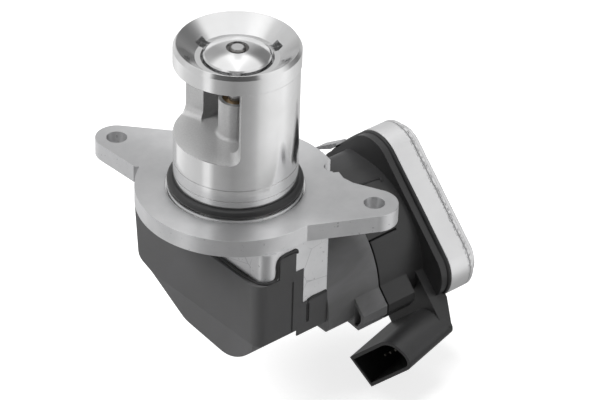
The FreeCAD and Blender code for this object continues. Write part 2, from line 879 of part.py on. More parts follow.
def gear_disc(name, teeth, start, width, y, z, turn=0):
    """A toothed disc across X; turn is the angle of its first tooth from +Y towards +Z."""
    wire = doc.addObject("Part::Feature", f"{name}_teeth")
    wire.Shape = Part.Face(tooth_wire(teeth.value, D.gear_module.value, 0.9, 0.09))
    disc = doc.addObject("Part::Extrusion", name)
    disc.Base = wire
    disc.DirMode = "Custom"
    disc.Dir = Vector(0, 0, 1)
    disc.Solid = True
    bind(disc, LengthFwd=width)
    spin = Rotation(X_AXIS, turn + 90) * ALONG_X
    return move(disc, start, y, z, spin)


def mesh_turns():
    """First-tooth angles that let the four gears mesh at rest."""
    idler_y, idler_z = idler_centre()
    to_cam = math.degrees(math.atan2(D.cam_z.value - idler_z, D.cam_y.value - idler_y))
    to_motor = math.degrees(math.atan2(D.motor_z.value - idler_z, D.motor_y.value - idler_y))
    cam_step = 360 / D.cam_teeth.value
    pinion_step = 360 / D.pinion_teeth.value
    return {
        "small": to_cam,
        "cam": to_cam + 180 + cam_step / 2,
        "large": to_motor,
        "pinion": to_motor + 180 + pinion_step / 2,
    }


def groove_solid():
    """The cam groove: a slot whose centreline lifts the roller by equal steps."""
    floor = D.cam_back - D.groove_depth
    half = D.roller_radius.value + 0.05
    steps = 25
    overrun = 3.0
    middle = []
    total = D.cam_angle.value
    for index in range(steps + 1):
        angle = -overrun + (total + 2 * overrun) * index / steps
        y = -D.cam_y.value
        z = D.roller_closed.value - D.cam_z.value + D.lift.value * angle / total
        turn = math.radians(-angle)
        middle.append(Vector(0, y * math.cos(turn) - z * math.sin(turn),
                             y * math.sin(turn) + z * math.cos(turn)))
    sides = ([], [])
    for index, point in enumerate(middle):
        before = middle[max(index - 1, 0)]
        after = middle[min(index + 1, steps)]
        tangent = (after - before).normalize()
        normal = Vector(0, -tangent.z, tangent.y)
        sides[0].append(point + normal * half)
        sides[1].append(point - normal * half)

    def end_arc(index, first, last, outwards):
        beyond = middle[index] + outwards * half
        return Part.Arc(first, beyond, last).toShape()

    start_out = (middle[0] - middle[1]).normalize()
    stop_out = (middle[-1] - middle[-2]).normalize()
    left = Part.BSplineCurve()
    left.interpolate(sides[0])
    right = Part.BSplineCurve()
    right.interpolate(sides[1])
    edges = [
        left.toShape(),
        end_arc(-1, sides[0][-1], sides[1][-1], stop_out),
        right.toShape(),
        end_arc(0, sides[0][0], sides[1][0], start_out),
    ]
    wire = Part.Wire(Part.__sortEdges__(edges))
    groove = doc.addObject("Part::Feature", "cam_groove")
    groove.Shape = Part.Face(wire).extrude(Vector(D.groove_depth.value + 1, 0, 0))
    groove.Placement = Placement(Vector(floor.value, D.cam_y.value, D.cam_z.value), Rotation())
    return groove


def gears():
    turns = mesh_turns()
    idler_y, idler_z = idler_centre()
    teeth = gear_disc("cam_teeth", D.cam_teeth, D.cam_front, D.cam_tooth_width, D.cam_y, D.cam_z,
                      turns["cam"])
    disc = rod("cam_disc", D.cam_disc_radius, D.cam_front + D.cam_tooth_width, D.cam_back,
               D.cam_y, D.cam_z)
    hub = rod("cam_hub", D.cam_hub, D.hub_front, D.cam_front + 1, D.cam_y, D.cam_z)
    bore = rod("cam_bore", D.axle_radius + D.running_fit, D.hub_front - 1, D.cam_back + 1,
               D.cam_y, D.cam_z)
    finish(cut("cam_gear", join("cam_blank", teeth, disc, hub), groove_solid(), bore), "cam_gear")

    large = gear_disc("idler_large", D.large_teeth, D.large_front, D.large_width,
                      idler_y, idler_z, turns["large"])
    small = gear_disc("idler_small", D.small_teeth, D.large_front + D.large_width - 0.5,
                      D.small_width + 0.5, idler_y, idler_z, turns["small"])
    bore = rod("idler_bore", D.idler_axle + D.running_fit, D.large_front - 1, -2,
               idler_y, idler_z)
    finish(cut("intermediate_gear", join("idler_blank", large, small), bore), "intermediate_gear")

    pinion = gear_disc("pinion_disc", D.pinion_teeth, D.large_front - 0.1, D.large_width + 0.3,
                       D.motor_y, D.motor_z, turns["pinion"])
    bore = rod("pinion_bore", D.motor_shaft, D.large_front - 2, -5, D.motor_y, D.motor_z)
    finish(cut("motor_pinion", pinion, bore), "motor_pinion")

    finish(rod("cam_axle", D.axle_radius, D.cover_face + 0.85, D.wall_front + 2.55,
               D.cam_y, D.cam_z), "cam_axle")
    finish(rod("intermediate_axle", D.idler_axle, D.cover_face + 0.85, D.wall_front + 2.55,
               idler_y, idler_z), "intermediate_axle")
    magnet_back = D.sensor_front + D.sensor_width
    ring = rod("magnet_ring", D.sensor_radius, D.sensor_front, magnet_back, D.cam_y, D.cam_z)
    hole = rod("magnet_hole", D.cam_hub, D.sensor_front - 1, magnet_back + 1, D.cam_y, D.cam_z)
    finish(cut("sensor_magnet", ring, hole), "sensor_magnet")
    board = box("board_plate", D.cover_face + D.cover_wall, D.cam_y - 7, D.cam_z - 1.5,
                0.9, 20, 13)
    clear = rod("board_hole", 2.2, D.cover_face, -12, D.cam_y, D.cam_z)
    finish(cut("sensor_board", board, clear), "sensor_board")


def motor():
    """The direct-current motor that drives the train."""
    y, z = D.motor_y, D.motor_z
    can = rod("can_outer", D.motor_radius, D.motor_front, D.can_back, y, z)
    nose = rod("can_nose", 4.0, D.wall_front + 0.4, D.motor_front + 1, y, z)
    room = rod("can_room", D.motor_radius - D.can_wall, D.motor_front + D.can_wall,
               D.can_back + 1, y, z)
    front_seat = rod("front_seat", 3.5, D.wall_front + 1.2, D.motor_front + 3, y, z)
    opening = rod("nose_hole", D.motor_shaft + 0.4, 0, D.motor_front + 3, y, z)
    taps = [
        rod(f"motor_tap_{index}", D.motor_screw, D.motor_front - 1, D.motor_front + 3, sy, sz)
        for index, (sy, sz) in enumerate(motor_screw_places())
    ]
    finish(cut("motor_can", join("can_blank", can, nose), room, front_seat, opening, *taps),
           "motor_can")

    bell = rod("bell_disc", D.motor_radius, D.can_back, D.bell_back, y, z)
    boss = rod("bell_boss", 4.4, D.bell_back - 1, D.bell_back + 1.6, y, z)
    rear_seat = rod("rear_seat", 3.5, D.can_back - 1, D.bell_back + 0.6, y, z)
    finish(cut("motor_end_bell", join("bell_blank", bell, boss), rear_seat), "motor_end_bell")

    fit = D.motor_shaft + D.running_fit
    for label, start, stop in (("motor_front_bearing", D.wall_front + 1.2, D.motor_front + 1.2),
                               ("motor_rear_bearing", D.can_back, D.bell_back + 0.6)):
        outer = rod(f"{label}_outer", 3.5, start, stop, y, z)
        inner = rod(f"{label}_inner", fit, start - 1, stop + 1, y, z)
        finish(cut(label, outer, inner), label)

    shaft = rod("motor_shaft_rod", D.motor_shaft, D.large_front - 0.5, D.bell_back, y, z)
    finish(shaft, "motor_shaft")
    magnet_bore = D.motor_radius - D.can_wall - D.magnet_thickness
    armature_radius = magnet_bore - D.armature_gap
    core = rod("armature_core", armature_radius, D.armature_front, D.armature_back, y, z)
    commutator = rod("commutator_drum", D.commutator_radius, D.armature_back,
                     D.commutator_back, y, z)
    slots = []
    for index in range(6):
        angle = 60 * index
        slot = box(f"armature_slot_{index}", D.armature_front - 1, 0, 0,
                   D.armature_back - D.armature_front + 2, 1.6, 4)
        radians = math.radians(angle)
        reach = armature_radius - 3.2
        move(slot, D.armature_front - 1, y - 0.8 * math.cos(radians) - reach * math.sin(radians),
             z - 0.8 * math.sin(radians) + reach * math.cos(radians), Rotation(X_AXIS, angle))
        slots.append(slot)
    hole = rod("armature_hole", D.motor_shaft, D.armature_front - 3, D.commutator_back + 1.5,
               y, z)
    finish(cut("motor_armature", join("armature_blank", core, commutator), *slots, hole),
           "motor_armature")

    blades = [
        box(f"motor_terminal_{index}", D.bell_back, y - 1.5, z + side * 6.5 - 0.4, 4, 3, 0.8)
        for index, side in enumerate((1, -1))
    ]
    finish(join("motor_terminals", *blades), "motor_terminals")

    halves = []
    for index, angle in enumerate((25, 205)):
        half = cylinder(f"magnet_arc_{index}", D.motor_radius - D.can_wall, D.magnet_length,
                        D.magnet_front, y, z, Rotation(X_AXIS, angle) * ALONG_X, 130)
        core = rod(f"magnet_arc_core_{index}", magnet_bore, D.magnet_front - 2,
                   D.magnet_front + D.magnet_length + 3, y, z)
        halves.append(cut(f"magnet_{index}", half, core))
    finish(join("motor_magnets", *halves), "motor_magnets")

    brushes = []
    for index, side in enumerate((1, -1)):
        near_side = D.commutator_radius + 0.05
        low = y + near_side if side > 0 else y - near_side - D.brush_reach
        brushes.append(box(f"brush_{index}", D.brush_front, low, z - D.brush_height / 2,
                           D.brush_width, D.brush_reach, D.brush_height))
    finish(join("motor_brushes", *brushes), "motor_brushes")

    screws = []
    for index, (sy, sz) in enumerate(motor_screw_places()):
        head = rod(f"motor_screw_head_{index}", D.motor_screw_head, D.wall_front - 1.6,
                   D.wall_front, sy, sz)
        shank = rod(f"motor_screw_shank_{index}", D.motor_screw, D.wall_front - 1,
                    D.motor_front + 1.15, sy, sz)
        screws.append(join(f"motor_screw_{index}", head, shank))
    finish(join("motor_screws", *screws), "motor_screws")


def housing_blank(name, start, stop, inset=0):
    """The swept housing section: a large round over the top right, small corners below."""
    right = D.housing_right + inset
    left = D.housing_left - inset
    low = D.housing_bottom + inset
    top = D.housing_top - inset
    blank = prism(name, "YZ_Plane", corner_rectangle(right, low, left, top), start, stop)

    def sweep(edge):
        at = edge.Vertexes[0]
        return straight_along(edge, X_AXIS) and near(at.Y, right) and near(at.Z, top)

    def corners(edge):
        at = edge.Vertexes[0]
        return straight_along(edge, X_AXIS) and (
            near(at.Y, left) or (near(at.Y, right) and near(at.Z, low)))

    swept = rounded(f"{name}_swept", blank, D.housing_sweep - inset, sweep)
    return rounded(f"{name}_soft", swept, D.housing_corner - inset, corners)


def lug(name, start, stop):
    """The lug below the housing's side, padded along the motor."""
    side = D.housing_right
    low = D.housing_bottom
    return prism(name, "YZ_Plane", [
        (side + 0.3, low + 10.8),
        (side - D.lug_reach, low + 5.8),
        (side - D.lug_reach, low + 2.6),
        (side - D.lug_reach / 2, low - 0.8),
        (side + 5, low),
        (side + 5, low + 10.8),
    ], start, stop)


def motor_housing():
    """The moulded sleeve round the motor with the hollow lug at its lower edge."""
    side = D.housing_right
    low = D.housing_bottom
    wall = D.lug_wall
    section = housing_blank("sleeve", D.wall_back, D.seam)
    profile = prism("sleeve_side", "XZ_Plane",
                    corner_rectangle(D.wall_back, low, D.seam, D.housing_top),
                    side - 1, D.housing_left + 1)

    def front_foot(edge):
        at = edge.Vertexes[0]
        return straight_along(edge, Y_AXIS) and near(at.X, D.wall_back) and near(at.Z, low)

    soft_profile = rounded("sleeve_soft_side", profile, D.sleeve_round, front_foot)
    blank = common("sleeve_blank", section, soft_profile)
    hollow = prism("lug_hollow", "YZ_Plane", [
        (side - 0.2, low + 10.3 - wall * 1.45),
        (side - D.lug_reach + wall, low + 5.8 - wall * 0.4),
        (side - D.lug_reach + wall, low + 2.6 + wall * 0.3),
        (side - D.lug_reach / 2 + wall * 0.4, low - 0.8 + wall),
        (side - 0.2, low - 0.8 + wall),
    ], D.seam - D.lug_length - 1, D.seam - 3)
    bore = rod("sleeve_bore", D.motor_radius + 0.3, D.wall_back - 1, D.seam + 1,
               D.motor_y, D.motor_z)
    seats = []
    screws = []
    floor = D.seam - 4
    for index, (y, z) in enumerate(housing_screw_places()):
        head = D.housing_screw_head
        seats.append(rod(f"screw_seat_{index}", head + 0.2, floor, D.seam + 1, y, z))
        seats.append(rod(f"screw_way_{index}", D.housing_screw + 0.2, D.wall_back - 1, D.seam,
                         y, z))
        top = rod(f"screw_head_{index}", head, floor, D.seam - 0.5, y, z)
        shank = rod(f"screw_shank_{index}", D.housing_screw, D.wall_back - 6.5, floor + 1, y, z)
        screws.append(join(f"housing_screw_{index}", top, shank))
    finish(join("housing_screws", *screws), "housing_screws")
    solid = join("sleeve_solid", blank, lug("sleeve_lug", D.seam - D.lug_length, D.seam))
    return finish(cut("motor_housing", solid, hollow, bore, *seats), "motor_housing")


def turned_block(name, x, low_across, low_along, high_across, high_along, stop, radius):
    """A block across X in the turned frame with four rounded corners."""
    block = prism(name, "YZ_Plane",
                  corner_rectangle(low_across, low_along, high_across, high_along), x, stop)
    soft = rounded(f"{name}_soft", block, radius, lambda edge: straight_along(edge, X_AXIS))
    soft.Placement = TURNED
    return soft


def connector_cover():
    """The rear moulding: swept body, cap plate, neck and plug socket."""
    rear = housing_blank("rear_body", D.seam, D.plate_front + 1)
    plates = []
    for name, inset, start, stop in (
            ("rear_plate", D.plate_inset, D.plate_front, D.cap_front - D.plate_gap),
            ("rear_spigot", D.spigot_inset, D.plate_front, D.cap_front + 1.5)):
        plates.append(turned_block(name, start, D.cap_low + inset, D.cap_start + inset,
                                   D.cap_high - inset, D.cap_end - inset, stop,
                                   D.cap_corner - inset))
    neck_back = D.cap_front - 0.2
    socket_high = D.socket_low + D.socket_length
    neck = prism("rear_neck", "XZ_Plane", [
        (D.neck_front, D.cap_end - 12),
        (neck_back, D.cap_end - 12),
        (neck_back, D.cap_end + 1.1),
        (D.socket_mouth + D.socket_reach - 0.3, D.socket_near + 6),
        (D.neck_front, D.socket_near + 4),
    ], D.socket_low + 2, socket_high - 0.2)
    neck.Placement = TURNED
    lean = TURNED.Rotation * Rotation(Y_AXIS, D.socket_tilt.value)
    middle = (socket_high + D.socket_low) / 2
    centre = TURNED.multVec(Vector(D.socket_mouth.value, middle.value,
                                   (D.socket_near + D.socket_height / 2).value))
    shell = socket_blank("socket_outer", 0, D.socket_reach)
    hollow = socket_blank("socket_hollow", D.socket_wall, D.socket_depth)
    for piece, forward in ((shell, 0), (hollow, -1)):
        piece.Placement = Placement(centre + lean.multVec(Vector(forward, 0, 0)), lean)
    bore = rod("rear_bore", D.motor_radius + 0.3, D.seam - 1, D.bell_back + 0.3,
               D.motor_y, D.motor_z)
    boss_room = rod("rear_boss_room", 8.0, D.seam, D.plate_front + 3, D.motor_y, D.motor_z)
    room = turned_block("rear_room", D.plate_front + 1.8, D.cap_low + 7, D.cap_start + 8,
                        D.cap_high - 7, D.cap_end - 8, D.cap_front + 3, 6)
    solid = join("rear_solid", rear, *plates, neck, shell,
                 lug("rear_lug", D.seam, D.seam + D.seam_step))
    pins = pin_row("pin", centre, lean, D.pin_side)
    seats = pin_row("pin_seat", centre, lean, D.pin_side)
    finish(join("connector_pins", *pins), "connector_pins")
    seam_side = box("seam_side", D.seam, D.housing_right - 6, D.housing_bottom - 2, D.seam_gap,
                    19, D.seam_height - D.housing_bottom + 2)
    seam_top = box("seam_top", D.seam, D.housing_right - 6, D.seam_height - D.seam_gap,
                   D.seam_step, 19, D.seam_gap)
    keep = housing_blank("seam_core", D.seam - 1, D.plate_front, D.seam_depth)
    seam_line = cut("seam_line", join("seam_cutter", seam_side, seam_top), keep)

    gap = D.cap_wall + 1.4
    groove = turned_block("seal_groove", D.cap_front + 0.4, D.cap_low - 1, D.cap_start - 1,
                          D.cap_high + 1, D.cap_end + 1, D.cap_front + 2, D.cap_corner)
    core = turned_block("seal_core", D.cap_front, D.cap_low + gap, D.cap_start + gap,
                        D.cap_high - gap, D.cap_end - gap, D.cap_front + 3,
                        D.cap_corner - gap)
    shallow = cut("seal_recess", groove, core)
    ring = turned_block("seal_ring", D.cap_front + 0.4, D.cap_low + D.cap_wall,
                        D.cap_start + D.cap_wall, D.cap_high - D.cap_wall,
                        D.cap_end - D.cap_wall, D.cap_front + 1.5, D.cap_corner - D.cap_wall)
    hole = turned_block("seal_hole", D.cap_front, D.cap_low + gap, D.cap_start + gap,
                        D.cap_high - gap, D.cap_end - gap, D.cap_front + 3,
                        D.cap_corner - gap)
    finish(cut("cap_seal", ring, hole), "cap_seal")
    return finish(cut("connector_cover", solid, bore, boss_room, room, hollow, shallow,
                      seam_line, *seats), "connector_cover")


def pin_row(name, centre, lean, side):
    """The row of contact pins, standing out of the floor of the socket."""
    pins = []
    count = int(D.pin_count.value)
    for index in range(count):
        across = (index - (count - 1) / 2) * D.pin_pitch.value
        pin = box(f"{name}_{index}", 0, 0, 0, D.pin_reach + 3, side, side)
        pin.setExpression("Placement.Base.x", None)
        pin.setExpression("Placement.Base.y", None)
        pin.setExpression("Placement.Base.z", None)
        half = side.value / 2
        start = Vector((D.socket_depth - D.pin_reach).value - 1, across - half, -half)
        pin.Placement = Placement(centre + lean.multVec(start), lean)
        pins.append(pin)
    return pins


def socket_blank(name, inset, length):
    half_height = D.socket_height / 2 - inset
    half_length = D.socket_length / 2 - inset
    block = prism(name, "YZ_Plane",
                  corner_rectangle(-half_length, -half_height, half_length, half_height),
                  0, length)

    def outer_corner(high):
        def chosen(edge):
            at = edge.Vertexes[0]
            outer = straight_along(edge, X_AXIS) and near(at.Y, half_length)
            return outer and (at.Z < 0) == high
        return chosen

    upper = rounded(f"{name}_round", block, D.socket_round - inset, outer_corner(True))
    return rounded(f"{name}_soft", upper, D.socket_corner - inset, outer_corner(False))


def end_cap():
    """The drawn aluminium cap with a stepped back."""
    shell = turned_block("cap_outer", D.cap_front, D.cap_low, D.cap_start, D.cap_high,
                         D.cap_end, D.cap_front + D.cap_depth, D.cap_corner)
    inset = D.cap_inset
    step = turned_block("cap_back", D.cap_front + D.cap_depth - 1, D.cap_low + inset,
                        D.cap_start + inset, D.cap_high - inset, D.cap_end - inset,
                        D.cap_front + D.cap_depth + D.cap_step, D.cap_corner - inset)
    wall = D.cap_wall
    room = turned_block("cap_room", D.cap_front - 1, D.cap_low + wall, D.cap_start + wall,
                        D.cap_high - wall, D.cap_end - wall, D.cap_front + D.cap_depth - 1.2,
                        D.cap_corner - wall)
    finish(cut("end_cap", join("cap_solid", shell, step), room), "end_cap")
    clip = prism("cap_clip", "YZ_Plane", [
        (D.clip_low, D.cap_start - D.clip_rise - D.clip_thickness),
        (D.clip_high, D.cap_start - D.clip_thickness),
        (D.clip_high, D.cap_start),
        (D.cap_low + D.cap_corner, D.cap_start),
        (D.clip_low, D.cap_start - D.clip_rise),
    ], D.clip_front, D.clip_back)
    clip.Placement = TURNED
    finish(clip, "cap_clip")


valve_tube()
o_ring()
seat_ring()
valve_head()
valve_stem()
guide_bushes()
return_spring()
spring_retainer()
stem_yoke()
roller_parts()
actuator_housing()
gear_cover()
gears()
motor()
motor_housing()
connector_cover()
end_cap()


def check_and_export():
    doc.recompute()
    for obj in doc.Objects:
        bad = [word for word in obj.State if word in ("Invalid", "Error")]
        if bad:
            raise RuntimeError(f"{obj.Name} failed: {bad}")
    for obj in PARTS:
        if obj.Shape.isNull() or not obj.Shape.isValid():
            raise RuntimeError(f"{obj.Label} has no valid shape")
    os.makedirs("parts", exist_ok=True)
    for obj in PARTS:
        obj.Shape.exportStep(f"parts/{obj.Label}.step")
        solids = len(obj.Shape.Solids)
        print(f"{obj.Label}: {solids} solid(s), {obj.Shape.Volume:.1f} mm3")


check_and_export()
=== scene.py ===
"""Looks of the exhaust gas recirculation valve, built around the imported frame."""
import json
import math

import bpy
from mathutils import Matrix, Vector


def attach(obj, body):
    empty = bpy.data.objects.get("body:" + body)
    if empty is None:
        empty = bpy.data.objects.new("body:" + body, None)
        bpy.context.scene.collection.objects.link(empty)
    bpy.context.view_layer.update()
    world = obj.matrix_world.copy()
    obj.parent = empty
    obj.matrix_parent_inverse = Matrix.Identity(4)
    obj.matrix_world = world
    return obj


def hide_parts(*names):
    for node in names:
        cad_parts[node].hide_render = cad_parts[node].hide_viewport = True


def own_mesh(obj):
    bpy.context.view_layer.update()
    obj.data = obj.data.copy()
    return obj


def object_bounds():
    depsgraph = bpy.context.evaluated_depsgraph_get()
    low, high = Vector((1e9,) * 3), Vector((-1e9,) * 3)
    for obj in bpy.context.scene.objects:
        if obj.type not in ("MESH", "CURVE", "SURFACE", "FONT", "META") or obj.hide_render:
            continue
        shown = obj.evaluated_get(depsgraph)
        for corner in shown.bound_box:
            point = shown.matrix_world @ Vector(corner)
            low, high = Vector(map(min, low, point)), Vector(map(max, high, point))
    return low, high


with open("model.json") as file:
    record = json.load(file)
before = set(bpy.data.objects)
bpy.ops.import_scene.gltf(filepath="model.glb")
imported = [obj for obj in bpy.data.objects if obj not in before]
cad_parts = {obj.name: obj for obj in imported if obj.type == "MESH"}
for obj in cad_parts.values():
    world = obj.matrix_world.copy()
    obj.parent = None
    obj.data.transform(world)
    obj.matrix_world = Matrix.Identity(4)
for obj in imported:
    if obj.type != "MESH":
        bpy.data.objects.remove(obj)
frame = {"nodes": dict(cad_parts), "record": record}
cad_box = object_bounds()
MM = 0.001

# The photograph's camera: angles in degrees, lens and sensor in millimetres, place in metres.
CAMERA_AZIMUTH, CAMERA_ELEVATION, CAMERA_ROLL = -41.565, 34.287, 1.738
CAMERA_LENS, CAMERA_SENSOR, CAMERA_REACH = 203.55, 36.0, 20.0
CAMERA_PLACE = (-0.57955, -0.68493, 0.60606)

# Radii and heights about the valve's axis that a look follows, and the crimp line's place
# along X.
TUBE_SKIN = 19.75 * MM
WINDOW_ZONE = 2.0 * MM
STEM_END = 49.0 * MM
STEM_HOLLOW = (1.7 * MM, 2.3 * MM)
STAKED_RIM = ((3.65 - 0.25) * MM, (3.65 + 0.1) * MM)
UNDER_FLANGE = (-10.5 * MM, -9.0 * MM)
CRIMP_LINE = 65.2 * MM

# The darkest tone of the staked ring, which is painted shade in its recess, the casting's marks
# and the crimp line, painted shade in its groove, and how far each of the last two goes towards
# it.
RING_SHADE_TONE = (0.16, 0.155, 0.15, 1)
MARK_TONE = (0.25, 0.25, 0.26, 1)
CRIMP_SHADE_TONE = (0.4, 0.4, 0.41, 1)
MARK_SHARE, CRIMP_SHADE_SHARE = 0.45, 0.7

BEVEL_SAMPLES = 4
QUARTER_TURN = 0.25
LATHE_STEPS = 192
CORNER_STEPS = 5
BEAD_SIDES, BEAD_STEPS = 4, 10

# Brightness of the tent's wall by azimuth in degrees, from +X towards +Y.
AROUND = [(0, 0.9), (25, 0.72), (45, 0.85), (66, 0.95), (84, 1.15), (100, 1.3), (112, 1.2),
          (126, 1.0), (150, 0.86), (165, 0.86), (171, 1.2), (180, 1.25), (185, 0.9),
          (191, 0.6), (205, 0.5), (225, 0.4), (245, 0.48), (257, 0.56), (265, 0.68),
          (274, 0.95), (292, 1.2), (312, 1.3), (325, 1.35), (340, 1.1), (352, 0.95),
          (360, 0.9)]
# How much darker the far wall is between the horizon and the roof.
FAR_SHADE = [(0, 0.72), (14, 0.58), (30, 0.55), (41, 0.06), (57, 0.06), (68, 0.42), (80, 0.45),
             (95, 0.35), (112, 0.3), (135, 0.0), (312, 0.0), (330, 0.6), (350, 0.74),
             (360, 0.72)]
# The strip behind the camera is darkest high up.
NEAR_SHADE = [(0, 0.0), (180, 0.0), (190, 0.75), (264, 0.75), (274, 0.0), (360, 0.0)]
# Brightness of the roof, with a brighter part over the far side.
ROOF = [(0, 1.35), (20, 1.5), (31, 2.0), (66, 2.0), (78, 1.5), (130, 1.45), (165, 1.6),
        (190, 1.5), (215, 1.4), (300, 1.35), (360, 1.35)]
# A dark seam in the roof's foot, which leaves a bright streak on each side of it in the flange.
SEAM = [(0, 0.0), (37, 0.0), (43, 0.35), (54, 0.35), (60, 0.0), (360, 0.0)]
# How far the roof comes down the wall; the wall's darker strip goes up highest.
ROOF_DROP = [(0, 0.1), (188, 0.1), (200, 0.0), (252, 0.0), (268, 0.1), (360, 0.1)]
# Elevations in degrees between which each part of the tent fades in.
FAR_FOOT, FAR_TOP = (-14, 2), (38, 56)
NEAR_FOOT = (12, 32)
ROOF_EDGE = (55, 66)
SEAM_FOOT, SEAM_TOP = (38, 44), (62, 68)
# The share of the tent's light that matt surfaces don't get, because the lamps give it.
DIFFUSE_CUT = 0.74

FLOOR_REACH, FLOOR_TONE, FLOOR_GLOW = 6.0, 0.5, 0.78
# A glowing disc that only gloss sees: painted shade in the reflections below the object.
CARD_RADIUS, CARD_CORNERS, CARD_GLOW = 0.14, 96, 0.36
CARD_PLACE = (0.02, -0.01, cad_box[0][2] + 0.2 * MM)

LAMP_SIZE = 0.6
LAMPS = [("key lamp", (-0.85, 0.6, 0.95), 17.0),
         ("top lamp", (0.0, 0.0, 1.3), 12.0),
         ("fill lamp", (0.9, -0.9, 0.35), 1.0)]


def camera():
    """The photograph's camera: a long lens looking down on the flange from the front left."""
    sight = bpy.data.cameras.new("camera")
    sight.sensor_width = CAMERA_SENSOR
    sight.lens = CAMERA_LENS
    sight.clip_end = CAMERA_REACH
    holder = bpy.data.objects.new("camera", sight)
    azimuth, elevation, roll = (math.radians(angle) for angle in
                                (CAMERA_AZIMUTH, CAMERA_ELEVATION, CAMERA_ROLL))
    back = Vector((math.sin(azimuth) * math.cos(elevation),
                   -math.cos(azimuth) * math.cos(elevation),
                   math.sin(elevation)))
    level = Vector((math.cos(azimuth), math.sin(azimuth), 0))
    rise = back.cross(level)
    right = level * math.cos(roll) + rise * math.sin(roll)
    up = back.cross(right)
    turn = Matrix((right, up, back)).transposed().to_4x4()
    holder.matrix_world = Matrix.Translation(CAMERA_PLACE) @ turn
    bpy.context.scene.collection.objects.link(holder)
    bpy.context.scene.camera = holder


class Material:
    """A node material: a Principled shader with helpers for what feeds it."""

    def __init__(self, name, rough, metal, edge, **sockets):
        self.data = bpy.data.materials.new(name)
        self.data.use_nodes = True
        self.tree = self.data.node_tree
        self.shader = self.tree.nodes["Principled BSDF"]
        self.shader.inputs["Metallic"].default_value = metal
        self.shader.inputs["Roughness"].default_value = rough
        for socket, number in sockets.items():
            self.shader.inputs[socket.replace("_", " ")].default_value = number
        self.place = self.node("ShaderNodeTexCoord").outputs["Object"]
        self.normal = None
        if edge:
            bevel = self.node("ShaderNodeBevel")
            bevel.samples = BEVEL_SAMPLES
            bevel.inputs["Radius"].default_value = edge * MM
            self.normal = bevel.outputs["Normal"]
            self.set("Normal", self.normal)

    def node(self, kind, **settings):
        made = self.tree.nodes.new(kind)
        for name, setting in settings.items():
            setattr(made, name, setting)
        return made

    def feed(self, node, **inputs):
        """Fills a node's inputs, by name or as i and a number, with sockets or values."""
        for name, source in inputs.items():
            numbered = name[0] == "i" and name[1:].isdigit()
            socket = node.inputs[int(name[1:]) if numbered else name.replace("_", " ")]
            if isinstance(source, bpy.types.NodeSocket):
                self.tree.links.new(source, socket)
            else:
                socket.default_value = source
        return node

    def set(self, name, source):
        """Leads a socket to one of the shader's inputs."""
        self.tree.links.new(source, self.shader.inputs[name])

    def math(self, operation, first, second=0.0):
        made = self.node("ShaderNodeMath", operation=operation)
        return self.feed(made, i0=first, i1=second).outputs[0]

    def axes(self, place=None):
        """The three coordinates of a place, or of the point that is shaded."""
        made = self.node("ShaderNodeSeparateXYZ")
        return self.feed(made, Vector=place or self.place).outputs

    def scaled(self, x, y, z):
        made = self.node("ShaderNodeVectorMath", operation="MULTIPLY")
        return self.feed(made, i0=self.place, i1=(x, y, z)).outputs[0]

    def noise(self, scale, detail, rough, place=None, distortion=0.0):
        made = self.node("ShaderNodeTexNoise")
        return self.feed(made, Vector=place or self.place, Scale=scale, Detail=detail,
                         Roughness=rough, Distortion=distortion).outputs["Fac"]

    def cells(self, scale, place=None, feature="F1"):
        made = self.node("ShaderNodeTexVoronoi", feature=feature)
        return self.feed(made, Vector=place or self.place, Scale=scale).outputs["Distance"]

    def span(self, source, low, high, start=0.0, stop=1.0):
        """The source, with start to stop spread over low to high."""
        made = self.node("ShaderNodeMapRange")
        return self.feed(made, Value=source, From_Min=start, From_Max=stop,
                         To_Min=low, To_Max=high).outputs["Result"]

    def rise(self, source, start, stop):
        """Nothing up to start, one from stop on."""
        return self.span(source, 0.0, 1.0, start, stop)

    def fall(self, source, start, stop):
        """One up to start, nothing from stop on."""
        return self.span(source, 1.0, 0.0, start, stop)

    def mix(self, factor, first, second):
        """A colour between two."""
        made = self.node("ShaderNodeMix", data_type="RGBA")
        return self.feed(made, i0=factor, i6=first, i7=second).outputs[2]

    def blend(self, factor, first, second):
        """A number between two."""
        made = self.node("ShaderNodeMix", data_type="FLOAT")
        return self.feed(made, i0=factor, i2=first, i3=second).outputs[0]

    def colour(self, source, dark, light):
        """The base colour, varied between two tones."""
        made = self.mix(source, (*dark, 1), (*light, 1))
        self.set("Base Color", made)
        return made

    def roughness(self, source, low, high):
        self.set("Roughness", self.span(source, low, high))

    def bump(self, height, strength, depth):
        made = self.node("ShaderNodeBump")
        self.feed(made, Height=height, Strength=strength, Distance=depth * MM)
        if self.normal is not None:
            self.tree.links.new(self.normal, made.inputs["Normal"])
        self.normal = made.outputs["Normal"]
        self.set("Normal", self.normal)

    def lathe(self, grain):
        """Marks that run round the valve's axis stretch each highlight across them."""
        around = self.node("ShaderNodeVectorMath", operation="CROSS_PRODUCT")
        self.feed(around, i0=(0, 0, 1), i1=self.place)
        unit = self.node("ShaderNodeVectorMath", operation="NORMALIZE")
        self.feed(unit, i0=around.outputs[0])
        self.set("Tangent", unit.outputs[0])
        self.shader.inputs["Anisotropic"].default_value = grain
        self.shader.inputs["Anisotropic Rotation"].default_value = QUARTER_TURN

    def round_place(self):
        """A place by radius and height about the valve's axis, the same all the way round."""
        x, y, z = self.axes()
        radius = self.math("SQRT", self.math("ADD", self.math("POWER", x, 2.0),
                                             self.math("POWER", y, 2.0)))
        made = self.node("ShaderNodeCombineXYZ")
        return self.feed(made, X=radius, Y=0.0, Z=z).outputs[0]


